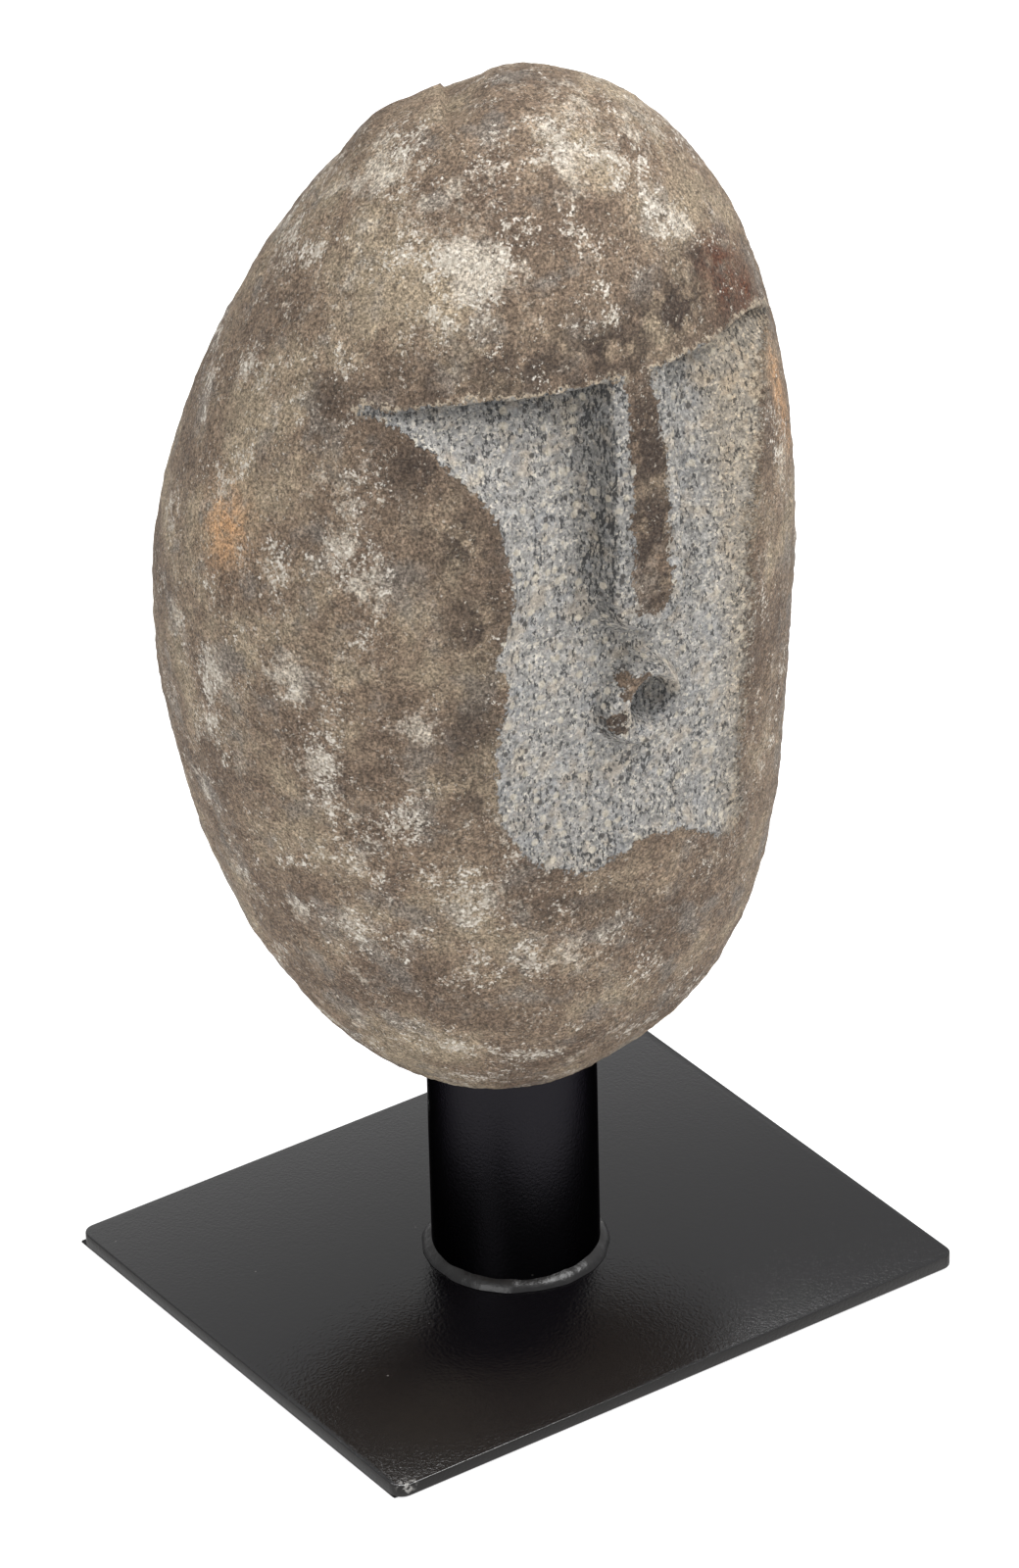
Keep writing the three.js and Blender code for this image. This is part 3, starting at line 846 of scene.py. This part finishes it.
def face_material(piece, material, chosen):
    """Gives a further material to the faces that the test picks."""
    piece.data.materials.append(material)
    for face in piece.data.polygons:
        if chosen(face):
            face.material_index = len(piece.data.materials) - 1


def finish_piece(piece, material, node):
    """Gives the piece its material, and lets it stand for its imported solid."""
    piece.data.materials.clear()
    piece.data.materials.append(material)
    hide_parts(node)
    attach(piece, BODY)


def steel_post(settings):
    """The tube, from its foot up to the stone's seat, with its edges eased."""
    low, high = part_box("post")
    deselect_all()
    bpy.ops.mesh.primitive_cylinder_add(
        vertices=POST_SIDES, radius=(high.x - low.x) / 2, depth=high.z - low.z, end_fill_type="NOTHING",
        location=(low + high) / 2)
    post = bpy.context.object
    post.name = "steel_post"
    settle(post)
    apply_modifier(post, "SOLIDIFY", thickness=POST_WALL * MM, offset=-1.0)
    apply_modifier(post, "BEVEL", width=settings.post_ease, segments=EASE_STEPS, limit_method="ANGLE")
    smooth_by_angle(SHARP_EDGE)
    return post


def weld_bead(settings):
    """The bead in the corner of post and plate: a ring whose face swells and sinks along its length."""
    low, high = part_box("weld_bead")
    post_low, post_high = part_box("post")
    inner = (post_high.x - post_low.x) / 2
    outer = (high.x - low.x) / 2
    deselect_all()
    bpy.ops.mesh.primitive_torus_add(
        major_radius=inner, minor_radius=outer - inner, major_segments=WELD_STEPS,
        minor_segments=WELD_SIDES)
    bead = bpy.context.object
    bead.name = "weld_bead_ring"
    places = vertex_places(bead.data)
    angle = np.arctan2(places[:, 1], places[:, 0])
    out = np.hypot(places[:, 0], places[:, 1]) - inner
    up = places[:, 2]
    lumps = sum(share * np.sin(turns * angle + phase) for turns, phase, share in WELD_WAVES)
    drift = WELD_RIPPLE["drift"] * np.sin(WELD_RIPPLE["drift_turns"] * angle)
    ripple = WELD_RIPPLE["share"] * np.sin(WELD_RIPPLE["turns"] * angle + drift)
    leg = outer - inner + settings.weld_lump * (lumps - 1.0)
    turn = np.arctan2(up, out)
    share = np.clip(turn / (math.pi / 2), 0.0, 1.0)
    crown = (WELD_CROWN * MM + settings.weld_lump * ripple) * np.sin(math.pi * share)
    on_face = (out > -TINY) & (up > -TINY)
    out = np.where(on_face, np.minimum(leg * (1.0 - share) + crown, outer - inner), 0.0)
    up = np.where(on_face, leg * share + crown, 0.0)
    places[:, 0] = (inner + out) * np.cos(angle)
    places[:, 1] = (inner + out) * np.sin(angle)
    places[:, 2] = low.z + up
    place_vertices(bead.data, places)
    bpy.ops.object.mode_set(mode="EDIT")
    bpy.ops.mesh.select_all(action="SELECT")
    bpy.ops.mesh.remove_doubles(threshold=TINY)
    bpy.ops.mesh.normals_make_consistent(inside=False)
    bpy.ops.object.mode_set(mode="OBJECT")
    smooth_by_angle(SHARP_WELD)
    return bead


class BoulderSettings(bpy.types.PropertyGroup):
    """The relief of the carved stone."""

    lumps: bpy.props.FloatProperty(
        name="Lumps", description="Height of the river-worn lumps", default=0.0018, min=0.0, unit="LENGTH")
    pits: bpy.props.FloatProperty(
        name="Pits", description="Depth of the pits in the rind", default=0.0014, min=0.0, unit="LENGTH")
    pecks: bpy.props.FloatProperty(
        name="Peck marks", description="Depth of the pecking on the face", default=0.001, min=0.0,
        unit="LENGTH")


class StandSettings(bpy.types.PropertyGroup):
    """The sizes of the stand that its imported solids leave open."""

    corner: bpy.props.FloatProperty(
        name="Plate corner", description="Radius of the plate's upright corners", default=0.0065,
        unit="LENGTH")
    ease: bpy.props.FloatProperty(
        name="Plate edge", description="How far the plate's edges are eased", default=0.0006, unit="LENGTH")
    pad_corner: bpy.props.FloatProperty(
        name="Pad corner", description="Radius of the pad's corners", default=0.0008, unit="LENGTH")
    post_ease: bpy.props.FloatProperty(
        name="Post edge", description="How far the post's upper edge is eased", default=0.0008, unit="LENGTH")
    weld_lump: bpy.props.FloatProperty(
        name="Weld lumps", description="How much the weld swells and sinks", default=0.0005, unit="LENGTH")


class StageSettings(bpy.types.PropertyGroup):
    """The camera, the lights and the floor."""

    azimuth: bpy.props.FloatProperty(
        name="Azimuth", description="Where the camera stands round the piece", default=math.radians(-34.5),
        subtype="ANGLE")
    elevation: bpy.props.FloatProperty(
        name="Elevation", description="How far above the horizon it stands", default=math.radians(30.55),
        subtype="ANGLE")
    roll: bpy.props.FloatProperty(
        name="Roll", description="How far it leans", default=math.radians(-1.4), subtype="ANGLE")
    distance: bpy.props.FloatProperty(
        name="Distance", description="From the camera to what it aims at", default=3.72, unit="LENGTH")
    aim: bpy.props.FloatVectorProperty(
        name="Aim", description="The point in the middle of the picture", default=(0.0017, -0.0012, 0.2467),
        subtype="XYZ")
    lens: bpy.props.FloatProperty(
        name="Lens", description="Focal length for a 36 mm sensor", default=195.4)
    surround: bpy.props.FloatProperty(
        name="Surround", description="Strength of the white surround", default=0.55)
    key: bpy.props.FloatProperty(
        name="Key light", description="Power of the large light on the right", default=92.0, unit="POWER")
    fill: bpy.props.FloatProperty(
        name="Fill light", description="Power of the light on the left", default=24.0, unit="POWER")
    top: bpy.props.FloatProperty(
        name="Top light", description="Power of the wide light overhead", default=52.0, unit="POWER")


class OBJECT_OT_carved_boulder(bpy.types.Operator):
    """Adds the boulder with its carved face"""

    bl_idname = "object.carved_boulder"
    bl_label = "Carved boulder"

    def execute(self, context):
        settings = context.scene.boulder_settings
        deselect_all()
        bpy.ops.mesh.primitive_uv_sphere_add(
            segments=COLUMNS // (CUTS + 1), ring_count=ROWS // (CUTS + 1), radius=1.0)
        stone = context.object
        stone.name = "carved_boulder"
        bpy.ops.object.mode_set(mode="EDIT")
        bpy.ops.mesh.select_all(action="SELECT")
        bpy.ops.mesh.subdivide(number_cuts=CUTS)
        bpy.ops.object.mode_set(mode="OBJECT")
        x, y, z, fresh, on_front = carve(stone)
        pecked = smoothstep(PECKS_FROM, PECKS_FULL, fresh)
        off_seat = smoothstep(SEAT + LUMPS_FROM, SEAT + LUMPS_FULL, z)
        vertex_group(stone, "skin", off_seat)
        vertex_group(stone, "crust", off_seat * (1.0 - pecked))
        vertex_group(stone, "pecked", pecked)
        for group, size_mm, setting in RELIEF:
            displace(stone, group, size_mm, getattr(settings, setting))
        bpy.ops.object.shade_smooth()
        near_lip = smoothstep(-LIP_BAND, 0.0, z - brow_height(x))
        point_attribute(stone.data, "fresh_mm", fresh)
        # Painted shade in the hollows of the face, kept on the mesh for the granite to darken by.
        point_attribute(stone.data, "unbruised", np.where(on_front, unbruised(x, z), 0.0))
        point_attribute(stone.data, "brow_lip", np.where(on_front, near_lip, 0.0))
        for name, places in (
            ("rust", RUST_SPOTS), ("ochre", OCHRE_SPOTS), ("pale", PALE_SPOTS), ("smoke", SMOKE_SPOTS),
        ):
            point_attribute(stone.data, name, spots(x, y, z, places))
        stone.data.materials.append(granite_boulder())
        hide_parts("stone_head")
        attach(stone, BODY)
        return {"FINISHED"}


class OBJECT_OT_steel_stand(bpy.types.Operator):
    """Adds the plate, the post, the weld at its foot and the pad underneath"""

    bl_idname = "object.steel_stand"
    bl_label = "Steel stand"

    def execute(self, context):
        settings = context.scene.stand_settings
        low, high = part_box("base_plate")
        plate = rounded_sheet("steel_plate", low, high, settings.corner, settings.ease)
        finish_piece(plate, black_coat("satin_black_enamel_on_plate"), "base_plate")
        cut_edge = black_coat("satin_black_enamel_on_cut_edge")
        face_material(plate, cut_edge, lambda face: abs(face.normal.z) < UPRIGHT)
        low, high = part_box("rubber_pad")
        pad = rounded_sheet("rubber_sheet", low, high, settings.pad_corner, 0.0)
        finish_piece(pad, sheet_rubber(), "rubber_pad")
        finish_piece(steel_post(settings), black_coat("blackened_steel_tube"), "post")
        weld_coat = black_coat("satin_black_enamel_on_weld")
        finish_piece(weld_bead(settings), weld_coat, "weld_bead")
        return {"FINISHED"}


def area_light(name, place, size, power):
    """A soft square light that looks at the middle of the piece."""
    data = bpy.data.lights.new(name, "AREA")
    data.shape = "SQUARE"
    data.size = size
    data.energy = power
    light = bpy.data.objects.new(name, data)
    light.location = place
    light.rotation_euler = (Vector(LIGHTS_AIM) - Vector(place)).to_track_quat("-Z", "Y").to_euler()
    bpy.context.scene.collection.objects.link(light)


class OBJECT_OT_plain_stage(bpy.types.Operator):
    """Adds the camera, the lights and the pale floor"""

    bl_idname = "object.plain_stage"
    bl_label = "Plain stage"

    def execute(self, context):
        settings = context.scene.stage_settings
        cos_e = math.cos(settings.elevation)
        back = Vector((math.sin(settings.azimuth) * cos_e, -math.cos(settings.azimuth) * cos_e,
                       math.sin(settings.elevation)))
        right = Vector((0, 0, 1)).cross(back).normalized()
        facing = Matrix((right, back.cross(right), back)).transposed()
        facing = facing @ Matrix.Rotation(settings.roll, 3, "Z")
        data = bpy.data.cameras.new("photo_camera")
        data.sensor_width = SENSOR_WIDTH
        data.lens = settings.lens
        data.clip_end = CLIP_END
        camera = bpy.data.objects.new("photo_camera", data)
        camera.matrix_world = Matrix.Translation(
            Vector(settings.aim) + back * settings.distance) @ facing.to_4x4()
        context.scene.collection.objects.link(camera)
        context.scene.camera = camera

        deselect_all()
        bpy.ops.mesh.primitive_plane_add(size=FLOOR_SIZE, location=(0.0, 0.0, 0.0))
        floor = context.object
        floor.name = "floor"
        floor.data.materials.append(studio_floor())

        world = bpy.data.worlds.new("white_surround")
        world.use_nodes = True
        surround = world.node_tree.nodes["Background"]
        surround.inputs["Color"].default_value = tone(1.0)
        surround.inputs["Strength"].default_value = settings.surround
        context.scene.world = world
        for name, (place, size) in LIGHTS.items():
            area_light(name, place, size, getattr(settings, name))
        context.scene.view_settings.view_transform = "Standard"
        return {"FINISHED"}


class VIEW3D_PT_boulder_head(bpy.types.Panel):
    """Lists the pieces and their sizes in the sidebar"""

    bl_label = "Boulder head"
    bl_idname = "VIEW3D_PT_boulder_head"
    bl_space_type = "VIEW_3D"
    bl_region_type = "UI"
    bl_category = "Boulder head"

    def draw(self, context):
        for settings, operator in (
            ("boulder_settings", "object.carved_boulder"),
            ("stand_settings", "object.steel_stand"),
            ("stage_settings", "object.plain_stage"),
        ):
            box = self.layout.box()
            group = getattr(context.scene, settings)
            for name in group.bl_rna.properties.keys():
                if name not in ("rna_type", "name"):
                    box.prop(group, name)
            box.operator(operator)


SETTINGS = {
    "boulder_settings": BoulderSettings,
    "stand_settings": StandSettings,
    "stage_settings": StageSettings,
}
CLASSES = (
    *SETTINGS.values(),
    OBJECT_OT_carved_boulder,
    OBJECT_OT_steel_stand,
    OBJECT_OT_plain_stage,
    VIEW3D_PT_boulder_head,
)


def register():
    """Registers the classes and hangs the settings on the scene."""
    for cls in CLASSES:
        bpy.utils.register_class(cls)
    for name, cls in SETTINGS.items():
        setattr(bpy.types.Scene, name, bpy.props.PointerProperty(type=cls))


def unregister():
    """Takes the settings and the classes away again."""
    for name in SETTINGS:
        delattr(bpy.types.Scene, name)
    for cls in reversed(CLASSES):
        bpy.utils.unregister_class(cls)


def main():
    """Builds every piece and the stage."""
    register()
    bpy.ops.object.carved_boulder()
    bpy.ops.object.steel_stand()
    bpy.ops.object.plain_stage()


if __name__ == "__main__":
    main()
